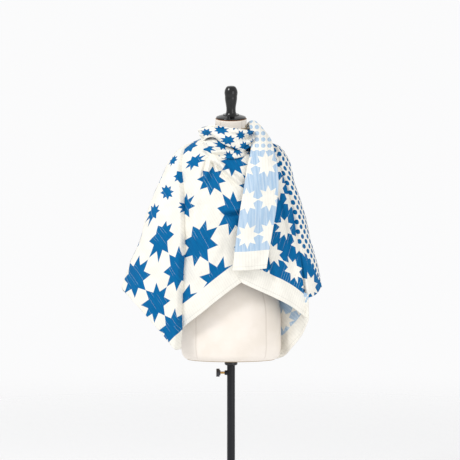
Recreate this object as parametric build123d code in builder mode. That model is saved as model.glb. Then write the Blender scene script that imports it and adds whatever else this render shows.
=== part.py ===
from build123d import *
import math
import os

# A dress form on a round iron stand, carrying a reversible cotton quilt that is wrapped
# round its neck and shoulders. Millimetres, +Z up, the front faces -Y.
# The origin is on the floor, under the middle of the stand.

os.makedirs("parts", exist_ok=True)

# ---- driving dimensions -------------------------------------------------------------

# base
BASE_R = 160.0
FELT_T = 2.0
BASE_EDGE_H = 10.0
HUB_R = 36.0
HUB_TOP = 30.0

# tubes of the stand
TUBE_R = 13.5
TUBE_BORE_R = 12.3
TUBE_BOTTOM = 12.0
POLE_R = 11.0
POLE_BORE_R = 9.0
POLE_BOTTOM = 300.0
POLE_TOP = 696.0
RUN_GAP = 0.05

# collar at the top of the stand
COLLAR_R = 22.0
COLLAR_H = 20.0

# clamp screw
SCREW_Z = 594.0
STEM_R = 4.0
KNOB_R = 13.75
KNOB_T = 11.0
KNOB_X = -50.0
BOSS_END_X = -22.0
PAD_R = 3.5
PAD_X = -(POLE_R + 0.3)
PAD_T = 4.0

# torso: height, half width, half depth, centre depth
TORSO_BOTTOM = 640.0
TORSO_SECTIONS = [
    (640.0, 150.0, 96.0, 0.0),
    (650.0, 161.0, 106.0, 0.0),
    (672.0, 168.5, 113.0, 0.0),
    (740.0, 170.0, 118.0, 0.0),
    (820.0, 167.0, 117.0, 2.0),
    (910.0, 140.0, 101.0, 4.0),
    (1000.0, 119.0, 89.0, 4.0),
    (1100.0, 133.0, 99.0, 0.0),
    (1190.0, 152.0, 110.0, -6.0),
    (1280.0, 161.0, 99.0, -4.0),
    (1338.0, 155.0, 80.0, 0.0),
    (1372.0, 106.0, 68.0, -1.0),
    (1398.0, 66.0, 58.0, -4.0),
    (1424.0, 54.5, 54.0, -7.0),
    (1490.0, 53.0, 53.0, -13.0),
]
COVER_T = 1.0
SHELL_T = 5.0
FIT_GAP = 0.3
ARM_FLAT_X = 154.0
ARM_PLATE_T = 5.0
ARM_PLATE_Z = 1280.0

# bottom of the torso
BOARD_T = 14.0
BOARD_HALF = (143.0, 88.0)
RIM_OUTER = (153.0, 97.0)
RIM_INNER = (124.0, 68.0)
RIM_H = 20.0
FLANGE_R = 50.0
FLANGE_T = 4.0
SOCKET_R = 17.0

# neck, cap and finial lean forward about X
NECK_TILT = 15.0
NECK_CENTRE = (0.0, -10.0, 1457.0)
CAP_R = 50.5
CAP_RING_T = 1.3
CAP_TOP = 15.0
FINIAL_H = 96.0
FINIAL_R = 22.25
STUD_R = 4.0

# quilt, hung open: height, centre across, half width, half depth
CLOTH_T = 4.0
CAPE_SECTIONS = [
    (640.0, -28.0, 335.0, 152.0),
    (880.0, -28.0, 335.0, 150.0),
    (1050.0, -19.0, 284.0, 140.0),
    (1200.0, -13.0, 237.0, 128.0),
    (1320.0, -4.0, 192.0, 108.0),
    (1370.0, 0.0, 155.0, 84.0),
    (1408.0, 0.0, 80.0, 64.0),
]
# lower edge of the cape in front and behind, across and up
FRONT_HEM = [
    (-363.0, 885.0),
    (-187.0, 667.0),
    (-165.0, 690.0),
    (-160.0, 752.0),
    (37.0, 900.0),
    (172.0, 832.0),
    (184.0, 654.0),
    (265.0, 752.0),
    (262.0, 842.0),
    (307.0, 885.0),
]
BACK_HEM = [(-363.0, 885.0), (-190.0, 765.0), (-20.0, 725.0), (150.0, 770.0), (307.0, 885.0)]
HEM_CUT_X = 420.0
HEM_CUT_Z = 600.0
HEM_CUT_Y = 260.0

# the wrap round the neck
COWL_CENTRE = (-9.5, -8.0, 1378.0)
COWL_TILT = 8.0
COWL_R = 92.5
COWL_INNER_R = 48.0
COWL_HALF_H = 50.0
COWL_ROUND = 17.0

# the end that hangs down in front: its run seen from the side, and its outline from the front
TAIL_T = 4.0
TAIL_RUN = [(25, 1446), (-45, 1443), (-105, 1395), (-142, 1318), (-158, 1150), (-163, 941)]
TAIL_OUTLINE = [
    (64.0, 1452.0),
    (112.0, 1430.0),
    (150.0, 1374.0),
    (164.0, 1265.0),
    (154.0, 1148.0),
    (132.0, 1018.0),
    (116.0, 942.0),
    (-2.0, 942.0),
    (12.0, 1024.0),
    (31.0, 1174.0),
    (44.0, 1252.0),
    (57.0, 1323.0),
    (72.0, 1390.0),
]

# ---- shared planes and shapes -------------------------------------------------------


def leaning_plane(centre, degrees):
    """A plane across an axis that leans forward from vertical."""
    lean = math.radians(degrees)
    return Plane(origin=centre, x_dir=(1, 0, 0), z_dir=(0, -math.sin(lean), math.cos(lean)))


def profile_plane(centre, degrees):
    """A plane along that axis: local X runs across and local Y runs up the axis."""
    lean = math.radians(degrees)
    return Plane(origin=centre, x_dir=(1, 0, 0), z_dir=(0, -math.cos(lean), -math.sin(lean)))


NECK = leaning_plane(NECK_CENTRE, NECK_TILT)
NECK_PROFILE = profile_plane(NECK_CENTRE, NECK_TILT)
NECK_AXIS = Axis(NECK_CENTRE, NECK.z_dir)
COWL = leaning_plane(COWL_CENTRE, COWL_TILT)
COWL_PROFILE = profile_plane(COWL_CENTRE, COWL_TILT)
COWL_AXIS = Axis(COWL_CENTRE, COWL.z_dir)


def torso_solid(grow):
    """The torso's filled shape, each section larger by grow."""
    with BuildPart() as body:
        for height, half_x, half_y, centre_y in TORSO_SECTIONS:
            with BuildSketch(Plane.XY.offset(height)):
                with Locations((0, centre_y)):
                    Ellipse(half_x + grow, half_y + grow)
        loft(ruled=True)
    return body.part


def cape_solid(grow):
    """The filled shape of the hung quilt, each section larger by grow."""
    with BuildPart() as body:
        for height, centre_x, half_x, half_y in CAPE_SECTIONS:
            with BuildSketch(Plane.XY.offset(height)):
                with Locations((centre_x, 0)):
                    Ellipse(half_x + grow, half_y + grow)
        loft(ruled=True)
    return body.part


def torso_trim():
    """What the torso's cover and shell are cut back by: above the neck, and at the armholes."""
    with BuildPart() as trim:
        with BuildSketch(NECK):
            Circle(90)
        extrude(amount=120)
        for side in (-1, 1):
            with Locations((side * (ARM_FLAT_X + 30), 0, ARM_PLATE_Z)):
                Box(60, 240, 240)
    return trim.part


TORSO_OUTSIDE = torso_solid(0)
TORSO_UNDER_COVER = torso_solid(-COVER_T)
SHELL_OUTSIDE = torso_solid(-COVER_T - FIT_GAP)
SHELL_INSIDE = torso_solid(-COVER_T - FIT_GAP - SHELL_T)
NECK_SPACE = torso_solid(-COVER_T - 2 * FIT_GAP - SHELL_T)
TORSO_CLEARANCE = torso_solid(1.5)
TORSO_TRIM = torso_trim()

# ---- stand: base --------------------------------------------------------------------

# felt disc under the whole base
with BuildPart() as base_felt:
    with BuildSketch(Plane.XY):
        Circle(BASE_R - 4)
    extrude(amount=FELT_T)
base_felt.part.label = "base_felt"
export_step(base_felt.part, "parts/base_felt.step")

# cast plate: a rounded rim, a hollow curve, and a hub that takes the tube
with BuildPart() as base_plate:
    with BuildSketch(Plane.XZ):
        with BuildLine():
            Line((0, FELT_T), (BASE_R - 3, FELT_T))
            ThreePointArc((BASE_R - 3, FELT_T), (BASE_R, FELT_T + 4), (BASE_R - 3, FELT_T + 8))
            Line((BASE_R - 3, FELT_T + 8), (BASE_R - 20, FELT_T + BASE_EDGE_H))
            Spline(
                (BASE_R - 20, FELT_T + BASE_EDGE_H),
                (90, FELT_T + BASE_EDGE_H + 4),
                (HUB_R + 8, HUB_TOP - 5),
                (HUB_R, HUB_TOP),
            )
            Line((HUB_R, HUB_TOP), (0, HUB_TOP))
            Line((0, HUB_TOP), (0, FELT_T))
        make_face()
    revolve(axis=Axis.Z)
    with BuildSketch(Plane.XY.offset(TUBE_BOTTOM)):
        Circle(TUBE_R)
    extrude(amount=HUB_TOP, mode=Mode.SUBTRACT)
    with BuildSketch(Plane.XY.offset(FELT_T)):
        Circle(5.5)
    extrude(amount=HUB_TOP, mode=Mode.SUBTRACT)
    with BuildSketch(Plane.XY.offset(FELT_T)):
        Circle(12)
    extrude(amount=7, mode=Mode.SUBTRACT)
base_plate.part.label = "base_plate"
export_step(base_plate.part, "parts/base_plate.step")

# plug in the foot of the tube, threaded for the bolt
with BuildPart() as tube_plug:
    with BuildSketch(Plane.XY.offset(TUBE_BOTTOM)):
        Circle(TUBE_BORE_R)
        Circle(5.2, mode=Mode.SUBTRACT)
    extrude(amount=30)
tube_plug.part.label = "tube_plug"
export_step(tube_plug.part, "parts/tube_plug.step")

# washer and bolt that pull the tube down on the base
with BuildPart() as base_washer:
    with BuildSketch(Plane.XY.offset(FELT_T + 5.5)):
        Circle(11.5)
        Circle(5.3, mode=Mode.SUBTRACT)
    extrude(amount=1.5)
base_washer.part.label = "base_washer"
export_step(base_washer.part, "parts/base_washer.step")

with BuildPart() as base_bolt:
    with BuildSketch(Plane.XY.offset(FELT_T + 0.5)):
        RegularPolygon(8.5, 6)
    extrude(amount=5)
    with BuildSketch(Plane.XY.offset(FELT_T + 5.5)):
        Circle(5)
    extrude(amount=30)
base_bolt.part.label = "base_bolt"
export_step(base_bolt.part, "parts/base_bolt.step")

# collar that covers the joint of tube and hub
with BuildPart() as base_collar:
    with BuildSketch(Plane.XY.offset(HUB_TOP)):
        Circle(24)
        Circle(TUBE_R, mode=Mode.SUBTRACT)
    extrude(amount=16)
    fillet(base_collar.edges().group_by(Axis.Z)[-1].sort_by(SortBy.RADIUS)[-1], 7)
base_collar.part.label = "base_collar"
export_step(base_collar.part, "parts/base_collar.step")

# ---- stand: tube --------------------------------------------------------------------

COLLAR_TOP = TORSO_BOTTOM - 0.5
COLLAR_BOTTOM = COLLAR_TOP - COLLAR_H
TUBE_TOP = COLLAR_TOP - 3
SCREW_HOLE_R = 5
BOSS_R = 8
BOSS_START_X = -8
THROUGH_WALL = 30


def screw_plane(x):
    """A plane across the clamp screw, facing away from the tube."""
    return Plane(origin=(x, 0, SCREW_Z), x_dir=(0, 1, 0), z_dir=(-1, 0, 0))


# outer tube, with a hole at the side for the clamp screw
with BuildPart() as stand_tube:
    with BuildSketch(Plane.XY.offset(TUBE_BOTTOM)):
        Circle(TUBE_R)
        Circle(TUBE_BORE_R, mode=Mode.SUBTRACT)
    extrude(amount=TUBE_TOP - TUBE_BOTTOM)
    with BuildSketch(screw_plane(0)):
        Circle(SCREW_HOLE_R)
    extrude(amount=THROUGH_WALL, mode=Mode.SUBTRACT)
stand_tube.part.label = "stand_tube"
export_step(stand_tube.part, "parts/stand_tube.step")

# sleeve in which the inner pole runs
with BuildPart() as guide_bush:
    with BuildSketch(Plane.XY.offset(SCREW_Z + 10)):
        Circle(TUBE_BORE_R)
        Circle(POLE_R + RUN_GAP, mode=Mode.SUBTRACT)
    extrude(amount=TUBE_TOP - SCREW_Z - 10)
guide_bush.part.label = "guide_bush"
export_step(guide_bush.part, "parts/guide_bush.step")

# rounded ring that caps the tube, and on which the torso comes to rest
with BuildPart() as top_collar:
    with BuildSketch(Plane.XY.offset(COLLAR_BOTTOM)):
        Circle(COLLAR_R)
    extrude(amount=COLLAR_H)
    fillet(top_collar.edges().filter_by(GeomType.CIRCLE), 6)
    with BuildSketch(Plane.XY.offset(COLLAR_BOTTOM)):
        Circle(TUBE_R)
    extrude(amount=TUBE_TOP - COLLAR_BOTTOM, mode=Mode.SUBTRACT)
    with BuildSketch(Plane.XY.offset(TUBE_TOP)):
        Circle(POLE_R + 0.4)
    extrude(amount=COLLAR_H, mode=Mode.SUBTRACT)
top_collar.part.label = "top_collar"
export_step(top_collar.part, "parts/top_collar.step")

# threaded boss on the tube's side
with BuildPart() as screw_boss:
    with BuildSketch(screw_plane(BOSS_START_X)):
        Circle(BOSS_R)
    extrude(amount=BOSS_START_X - BOSS_END_X)
    fillet(screw_boss.edges().sort_by(Axis.X)[0], 1.5)
    with BuildSketch(screw_plane(0)):
        Circle(STEM_R + RUN_GAP)
    extrude(amount=THROUGH_WALL, mode=Mode.SUBTRACT)
    with BuildSketch(Plane.XY.offset(SCREW_Z - 20)):
        Circle(TUBE_R)
    extrude(amount=40, mode=Mode.SUBTRACT)
screw_boss.part.label = "screw_boss"
export_step(screw_boss.part, "parts/screw_boss.step")

# ---- mast ---------------------------------------------------------------------------

# inner pole that lifts the torso
with BuildPart() as inner_pole:
    with BuildSketch(Plane.XY.offset(POLE_BOTTOM)):
        Circle(POLE_R)
        Circle(POLE_BORE_R, mode=Mode.SUBTRACT)
    extrude(amount=POLE_TOP - POLE_BOTTOM)
inner_pole.part.label = "inner_pole"
export_step(inner_pole.part, "parts/inner_pole.step")

# ring that steadies the foot of the pole in the tube
with BuildPart() as pole_foot_ring:
    with BuildSketch(Plane.XY.offset(POLE_BOTTOM)):
        Circle(TUBE_BORE_R - 0.1)
        Circle(POLE_R, mode=Mode.SUBTRACT)
    extrude(amount=8)
pole_foot_ring.part.label = "pole_foot_ring"
export_step(pole_foot_ring.part, "parts/pole_foot_ring.step")

# washer on which the torso turns
WASHER_T = 2.0
with BuildPart() as thrust_washer:
    with BuildSketch(Plane.XY.offset(POLE_TOP)):
        Circle(POLE_R - 0.3)
        Circle(4, mode=Mode.SUBTRACT)
    extrude(amount=WASHER_T)
thrust_washer.part.label = "thrust_washer"
export_step(thrust_washer.part, "parts/thrust_washer.step")

# ---- clamp --------------------------------------------------------------------------

PAD_PIN_R = 1.5
PAD_PIN_L = 4.0
STEM_X = PAD_X - PAD_T - 0.1
KNOB_FACE_X = KNOB_X + KNOB_T

# pad that presses on the inner pole, with a pin on which the stem turns
with BuildPart() as clamp_pad:
    with BuildSketch(screw_plane(PAD_X)):
        Circle(PAD_R)
    extrude(amount=PAD_T)
    with BuildSketch(screw_plane(PAD_X - PAD_T)):
        Circle(PAD_PIN_R)
    extrude(amount=PAD_PIN_L)
clamp_pad.part.label = "clamp_pad"
export_step(clamp_pad.part, "parts/clamp_pad.step")

# stem of the screw
with BuildPart() as clamp_stem:
    with BuildSketch(screw_plane(STEM_X)):
        Circle(STEM_R)
    extrude(amount=STEM_X - KNOB_FACE_X + 6)
    with BuildSketch(screw_plane(STEM_X)):
        Circle(PAD_PIN_R + RUN_GAP)
    extrude(amount=PAD_PIN_L + 0.5, mode=Mode.SUBTRACT)
clamp_stem.part.label = "clamp_stem"
export_step(clamp_stem.part, "parts/clamp_stem.step")

# knurled head
KNURLS = 32
with BuildPart() as clamp_knob:
    with BuildSketch(screw_plane(KNOB_FACE_X)):
        Circle(KNOB_R)
        with PolarLocations(KNOB_R + 0.3, KNURLS):
            Circle(0.9, mode=Mode.SUBTRACT)
    extrude(amount=KNOB_T)
    with BuildSketch(screw_plane(KNOB_FACE_X)):
        Circle(STEM_R)
    extrude(amount=6, mode=Mode.SUBTRACT)
    with BuildSketch(screw_plane(KNOB_FACE_X)):
        Circle(9)
        Circle(STEM_R, mode=Mode.SUBTRACT)
    extrude(amount=-3)
clamp_knob.part.label = "clamp_knob"
export_step(clamp_knob.part, "parts/clamp_knob.step")

# ---- torso --------------------------------------------------------------------------

# hard shell, open at the neck, at the armholes and at the bottom
with BuildPart() as torso_shell:
    add(SHELL_OUTSIDE)
    add(SHELL_INSIDE, mode=Mode.SUBTRACT)
    add(TORSO_TRIM, mode=Mode.SUBTRACT)
torso_shell.part.label = "torso_shell"
export_step(torso_shell.part, "parts/torso_shell.step")

# cloth stretched over the shell
with BuildPart() as torso_cover:
    add(TORSO_OUTSIDE)
    add(TORSO_UNDER_COVER, mode=Mode.SUBTRACT)
    add(TORSO_TRIM, mode=Mode.SUBTRACT)
torso_cover.part.label = "torso_cover"
export_step(torso_cover.part, "parts/torso_cover.step")

BOARD_TOP = TORSO_BOTTOM + BOARD_T
BOARD_SCREWS = 6
BOARD_SCREW_RING = (134.0, 79.0)
FLANGE_SCREW_R = 36.0


def board_screw_places():
    """Evenly spaced places round the edge of the board."""
    turns = [2 * math.pi * (i + 0.5) / BOARD_SCREWS for i in range(BOARD_SCREWS)]
    return [(BOARD_SCREW_RING[0] * math.cos(t), BOARD_SCREW_RING[1] * math.sin(t)) for t in turns]


# board that closes the bottom
with BuildPart() as bottom_board:
    with BuildSketch(Plane.XY.offset(TORSO_BOTTOM)):
        Ellipse(*BOARD_HALF)
        Circle(POLE_R + 2, mode=Mode.SUBTRACT)
    extrude(amount=BOARD_T)
    with BuildSketch(Plane.XY.offset(TORSO_BOTTOM)):
        with Locations(*board_screw_places()):
            Circle(4.1)
    extrude(amount=2.2, mode=Mode.SUBTRACT)
    with BuildSketch(Plane.XY.offset(TORSO_BOTTOM)):
        with Locations(*board_screw_places()):
            Circle(2.1)
        with PolarLocations(FLANGE_SCREW_R, 4):
            Circle(2.1)
    extrude(amount=BOARD_T, mode=Mode.SUBTRACT)
bottom_board.part.label = "bottom_board"
export_step(bottom_board.part, "parts/bottom_board.step")

# wooden ring inside the shell, which takes the board's screws
with BuildPart() as rim_ring:
    with BuildSketch(Plane.XY.offset(BOARD_TOP)):
        Ellipse(*RIM_OUTER)
        Ellipse(*RIM_INNER, mode=Mode.SUBTRACT)
        with Locations(*board_screw_places()):
            Circle(2.1, mode=Mode.SUBTRACT)
    extrude(amount=RIM_H)
rim_ring.part.label = "rim_ring"
export_step(rim_ring.part, "parts/rim_ring.step")

with BuildPart() as board_screws:
    with BuildSketch(Plane.XY.offset(TORSO_BOTTOM + 0.1)):
        with Locations(*board_screw_places()):
            Circle(4)
    extrude(amount=2)
    with BuildSketch(Plane.XY.offset(TORSO_BOTTOM + 2)):
        with Locations(*board_screw_places()):
            Circle(2)
    extrude(amount=BOARD_T + RIM_H - 6)
board_screws.part.label = "board_screws"
export_step(board_screws.part, "parts/board_screws.step")

# socket that turns on the inner pole, screwed to the board
SOCKET_ROOF = POLE_TOP + WASHER_T + FIT_GAP
with BuildPart() as pole_socket:
    with BuildSketch(Plane.XY.offset(BOARD_TOP)):
        Circle(FLANGE_R)
        with PolarLocations(FLANGE_SCREW_R, 4):
            Circle(2.1, mode=Mode.SUBTRACT)
    extrude(amount=FLANGE_T)
    with BuildSketch(Plane.XY.offset(BOARD_TOP)):
        Circle(SOCKET_R)
    extrude(amount=SOCKET_ROOF + 4 - BOARD_TOP)
    with BuildSketch(Plane.XY.offset(BOARD_TOP)):
        Circle(POLE_R + RUN_GAP)
    extrude(amount=SOCKET_ROOF - BOARD_TOP, mode=Mode.SUBTRACT)
pole_socket.part.label = "pole_socket"
export_step(pole_socket.part, "parts/pole_socket.step")

with BuildPart() as socket_screws:
    with BuildSketch(Plane.XY.offset(BOARD_TOP + FLANGE_T)):
        with PolarLocations(FLANGE_SCREW_R, 4):
            Circle(4)
    extrude(amount=2.5)
    with BuildSketch(Plane.XY.offset(BOARD_TOP - 10)):
        with PolarLocations(FLANGE_SCREW_R, 4):
            Circle(2)
    extrude(amount=10 + FLANGE_T)
socket_screws.part.label = "socket_screws"
export_step(socket_screws.part, "parts/socket_screws.step")

# oval plates that close the armholes
for side, label in ((-1, "left_arm_plate"), (1, "right_arm_plate")):
    with BuildPart() as arm_plate:
        face_x = side * (ARM_FLAT_X + FIT_GAP)
        with BuildSketch(Plane(origin=(face_x, -4, ARM_PLATE_Z), x_dir=(0, 1, 0), z_dir=(side, 0, 0))):
            Ellipse(30, 60)
        extrude(amount=ARM_PLATE_T)
        fillet(arm_plate.faces().sort_by(Axis.X)[0 if side < 0 else -1].edges(), 2)
    arm_plate.part.label = label
    export_step(arm_plate.part, f"parts/{label}.step")

# ---- neck ---------------------------------------------------------------------------

# wooden block that fills the neck
with BuildPart() as neck_block:
    add(NECK_SPACE)
    with BuildSketch(NECK.offset(-48)):
        Circle(90)
    extrude(amount=48 - FIT_GAP, mode=Mode.INTERSECT)
    with BuildSketch(NECK.offset(-48)):
        Circle(STUD_R + 0.1)
    extrude(amount=50, mode=Mode.SUBTRACT)
neck_block.part.label = "neck_block"
export_step(neck_block.part, "parts/neck_block.step")

# tan edging between neck and cap
with BuildPart() as cap_edging:
    with BuildSketch(NECK.offset(0.1)):
        Circle(CAP_R + 0.5)
        Circle(STUD_R + 0.1, mode=Mode.SUBTRACT)
    extrude(amount=CAP_RING_T)
cap_edging.part.label = "cap_edging"
export_step(cap_edging.part, "parts/cap_edging.step")

# turned cap with a raised ring
CAP_BOTTOM = 0.1 + CAP_RING_T
with BuildPart() as neck_cap:
    with BuildSketch(NECK_PROFILE):
        with BuildLine():
            Line((STUD_R + 0.1, CAP_BOTTOM), (CAP_R - 1, CAP_BOTTOM))
            ThreePointArc((CAP_R - 1, CAP_BOTTOM), (CAP_R, CAP_BOTTOM + 2.5), (CAP_R - 2, CAP_BOTTOM + 5))
            Spline((CAP_R - 2, CAP_BOTTOM + 5), (42, CAP_BOTTOM + 7.4), (29, CAP_BOTTOM + 10.6))
            Line((29, CAP_BOTTOM + 10.6), (27, CAP_TOP))
            Line((27, CAP_TOP), (STUD_R + 0.1, CAP_TOP))
            Line((STUD_R + 0.1, CAP_TOP), (STUD_R + 0.1, CAP_BOTTOM))
        make_face()
    revolve(axis=NECK_AXIS)
neck_cap.part.label = "neck_cap"
export_step(neck_cap.part, "parts/neck_cap.step")

# turned knob on the cap
FOOT = CAP_TOP + 0.1
TOP = FOOT + FINIAL_H
with BuildPart() as neck_finial:
    with BuildSketch(NECK_PROFILE):
        with BuildLine():
            Line((0, FOOT), (20, FOOT))
            Spline(
                (20, FOOT),
                (17.6, FOOT + 4),
                (16.4, FOOT + 9),
                (17.4, FOOT + 0.33 * FINIAL_H),
                (20.6, FOOT + 0.62 * FINIAL_H),
            )
            Spline(
                (20.6, FOOT + 0.62 * FINIAL_H),
                (FINIAL_R, FOOT + 0.78 * FINIAL_H),
                (17.5, FOOT + 0.93 * FINIAL_H),
                (0, TOP),
                tangents=[(0.1, 1), (-1, 0)],
            )
            Line((0, TOP), (0, FOOT))
        make_face()
    revolve(axis=NECK_AXIS)
    with BuildSketch(NECK.offset(FOOT)):
        Circle(STUD_R + 0.1)
    extrude(amount=31, mode=Mode.SUBTRACT)
neck_finial.part.label = "neck_finial"
export_step(neck_finial.part, "parts/neck_finial.step")

# threaded stud that holds block, cap and finial together
with BuildPart() as finial_stud:
    with BuildSketch(NECK.offset(-40)):
        Circle(STUD_R)
    extrude(amount=40 + FOOT + 30)
finial_stud.part.label = "finial_stud"
export_step(finial_stud.part, "parts/finial_stud.step")

# ---- quilt --------------------------------------------------------------------------

CAPE_OUTSIDE = cape_solid(0)
CAPE_INSIDE = cape_solid(-CLOTH_T)


def hem_cut(hem, depth):
    """Everything below a lower edge, from the middle plane out to depth."""
    corners = [(-HEM_CUT_X, HEM_CUT_Z), (-HEM_CUT_X, hem[0][1]), *hem]
    corners += [(HEM_CUT_X, hem[-1][1]), (HEM_CUT_X, HEM_CUT_Z)]
    with BuildPart() as cut:
        with BuildSketch(Plane.XZ):
            with BuildLine():
                Polyline(*corners, close=True)
            make_face()
        extrude(amount=depth)
    return cut.part


FRONT_CUT = hem_cut(FRONT_HEM, HEM_CUT_Y)
BACK_CUT = hem_cut(BACK_HEM, -HEM_CUT_Y)

# cloth that hangs round the shoulders, open below, with a raised middle in front
with BuildPart() as quilt_cape:
    add(CAPE_OUTSIDE)
    add(CAPE_INSIDE, mode=Mode.SUBTRACT)
    add(FRONT_CUT, mode=Mode.SUBTRACT)
    add(BACK_CUT, mode=Mode.SUBTRACT)
    add(TORSO_CLEARANCE, mode=Mode.SUBTRACT)
    with BuildSketch(COWL.offset(-COWL_HALF_H - 1.5)):
        Circle(COWL_R + 1.5)
    extrude(amount=160, mode=Mode.SUBTRACT)
quilt_cape.part.label = "quilt_cape"
export_step(quilt_cape.part, "parts/quilt_cape.step")

# cloth gathered round the neck
with BuildPart() as quilt_cowl:
    with BuildSketch(COWL_PROFILE):
        with Locations(((COWL_R + COWL_INNER_R) / 2, 0)):
            RectangleRounded(COWL_R - COWL_INNER_R, 2 * COWL_HALF_H, COWL_ROUND)
    revolve(axis=COWL_AXIS)
    add(TORSO_CLEARANCE, mode=Mode.SUBTRACT)
quilt_cowl.part.label = "quilt_cowl"
export_step(quilt_cowl.part, "parts/quilt_cowl.step")

# end of the cloth, thrown over the shoulder and hanging in front
with BuildPart() as quilt_tail:
    with BuildSketch(Plane.YZ.offset(-10)):
        with BuildLine():
            Polyline(*TAIL_RUN)
        trace(line_width=TAIL_T)
    extrude(amount=190)
    with BuildSketch(Plane.XZ.offset(-100)):
        with BuildLine():
            Polyline(*TAIL_OUTLINE, close=True)
        make_face()
    extrude(amount=400, mode=Mode.INTERSECT)
quilt_tail.part.label = "quilt_tail"
export_step(quilt_tail.part, "parts/quilt_tail.step")
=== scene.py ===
import math

import bpy
import numpy as np
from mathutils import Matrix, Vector


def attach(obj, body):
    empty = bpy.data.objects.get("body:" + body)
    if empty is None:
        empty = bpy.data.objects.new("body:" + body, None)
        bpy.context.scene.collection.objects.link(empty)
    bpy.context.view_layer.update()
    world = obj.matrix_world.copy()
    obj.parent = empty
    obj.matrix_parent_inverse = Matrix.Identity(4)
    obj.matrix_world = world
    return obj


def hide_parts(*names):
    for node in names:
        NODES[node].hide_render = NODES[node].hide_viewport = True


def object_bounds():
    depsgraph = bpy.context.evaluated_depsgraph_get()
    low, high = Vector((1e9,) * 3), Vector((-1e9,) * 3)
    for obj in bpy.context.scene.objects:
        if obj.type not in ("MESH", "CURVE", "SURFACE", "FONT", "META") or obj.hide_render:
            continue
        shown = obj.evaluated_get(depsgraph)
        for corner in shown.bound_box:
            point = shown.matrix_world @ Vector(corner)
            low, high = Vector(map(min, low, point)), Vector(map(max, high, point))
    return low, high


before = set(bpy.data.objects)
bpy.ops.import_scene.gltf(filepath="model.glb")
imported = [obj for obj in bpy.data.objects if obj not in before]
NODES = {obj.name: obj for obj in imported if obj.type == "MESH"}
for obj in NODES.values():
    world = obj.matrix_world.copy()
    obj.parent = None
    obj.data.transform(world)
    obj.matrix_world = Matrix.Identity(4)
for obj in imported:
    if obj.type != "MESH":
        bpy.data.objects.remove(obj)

CAD_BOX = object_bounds()
MM = 0.001

# ---- camera and stage -----------------------------------------------------------------

CAMERA_AWAY = 4.0
CAMERA_HEIGHT = 1.079
FRAME_WIDTH = 1.564
SENSOR = 36.0
PLAIN_GREY = (0.97, 0.97, 0.975, 1.0)
FLOOR_HALF = 6.0
FLOOR_DROP = 0.0005
FLOOR_SOLID_TO = 0.9
FLOOR_GONE_AT = 5.2
WORLD_LIGHT = 0.83
WORLD_SEEN = (0.965, 0.965, 0.97, 1)
LIGHTS_AIM = (0, 0, 1.1)


def add_camera():
    """A level camera straight in front, as wide at the pole as FRAME_WIDTH."""
    data = bpy.data.cameras.new("camera")
    data.sensor_width = SENSOR
    data.lens = SENSOR * CAMERA_AWAY / FRAME_WIDTH
    camera = bpy.data.objects.new("camera", data)
    camera.location = (-0.0035, -CAMERA_AWAY, CAMERA_HEIGHT)
    camera.rotation_euler = (math.radians(90), 0, 0)
    bpy.context.scene.collection.objects.link(camera)
    bpy.context.scene.camera = camera


def aim(thing, target):
    """Points a light's -Z at the target."""
    away = Vector(thing.location) - Vector(target)
    thing.rotation_euler = away.to_track_quat("Z", "Y").to_euler()


def add_light(name, place, size, power):
    """A soft square light, turned towards the object."""
    data = bpy.data.lights.new(name, "AREA")
    data.size = size
    data.energy = power
    light = bpy.data.objects.new(name, data)
    light.location = place
    aim(light, LIGHTS_AIM)
    bpy.context.scene.collection.objects.link(light)


def add_world():
    """White studio surroundings: plain white to look at, a little dimmer as light."""
    world = bpy.data.worlds.new("studio")
    world.use_nodes = True
    nodes = world.node_tree.nodes
    links = world.node_tree.links
    nodes.clear()
    out = nodes.new("ShaderNodeOutputWorld")
    mix = nodes.new("ShaderNodeMixShader")
    path = nodes.new("ShaderNodeLightPath")
    light = nodes.new("ShaderNodeBackground")
    light.inputs["Color"].default_value = (1, 1, 1, 1)
    light.inputs["Strength"].default_value = WORLD_LIGHT
    seen = nodes.new("ShaderNodeBackground")
    seen.inputs["Color"].default_value = WORLD_SEEN
    seen.inputs["Strength"].default_value = 1.0
    links.new(path.outputs["Is Camera Ray"], mix.inputs["Fac"])
    links.new(light.outputs[0], mix.inputs[1])
    links.new(seen.outputs[0], mix.inputs[2])
    links.new(mix.outputs[0], out.inputs["Surface"])
    bpy.context.scene.world = world


def floor_paint():
    """Pale matt paint that fades into the surroundings well away from the object."""
    paint = bpy.data.materials.new("floor_paint")
    paint.use_nodes = True
    nodes = paint.node_tree.nodes
    links = paint.node_tree.links
    matt = nodes["Principled BSDF"]
    matt.inputs["Base Color"].default_value = PLAIN_GREY
    matt.inputs["Roughness"].default_value = 0.8
    space = nodes.new("ShaderNodeTexCoord")
    length = nodes.new("ShaderNodeVectorMath")
    length.operation = "LENGTH"
    fade = nodes.new("ShaderNodeMapRange")
    fade.interpolation_type = "SMOOTHSTEP"
    fade.inputs["From Min"].default_value = FLOOR_SOLID_TO
    fade.inputs["From Max"].default_value = FLOOR_GONE_AT
    clear = nodes.new("ShaderNodeBsdfTransparent")
    mix = nodes.new("ShaderNodeMixShader")
    links.new(space.outputs["Object"], length.inputs[0])
    links.new(length.outputs["Value"], fade.inputs["Value"])
    links.new(fade.outputs["Result"], mix.inputs["Fac"])
    links.new(matt.outputs["BSDF"], mix.inputs[1])
    links.new(clear.outputs["BSDF"], mix.inputs[2])
    links.new(mix.outputs["Shader"], nodes["Material Output"].inputs["Surface"])
    return paint


def add_floor():
    """The plain floor, just under the base."""
    mesh = bpy.data.meshes.new("floor")
    half = FLOOR_HALF
    corners = [(-half, -half, 0), (half, -half, 0), (half, half, 0), (-half, half, 0)]
    mesh.from_pydata(corners, [], [(0, 1, 2, 3)])
    floor = bpy.data.objects.new("floor", mesh)
    floor.location.z = CAD_BOX[0][2] - FLOOR_DROP
    bpy.context.scene.collection.objects.link(floor)
    mesh.materials.append(floor_paint())


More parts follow.
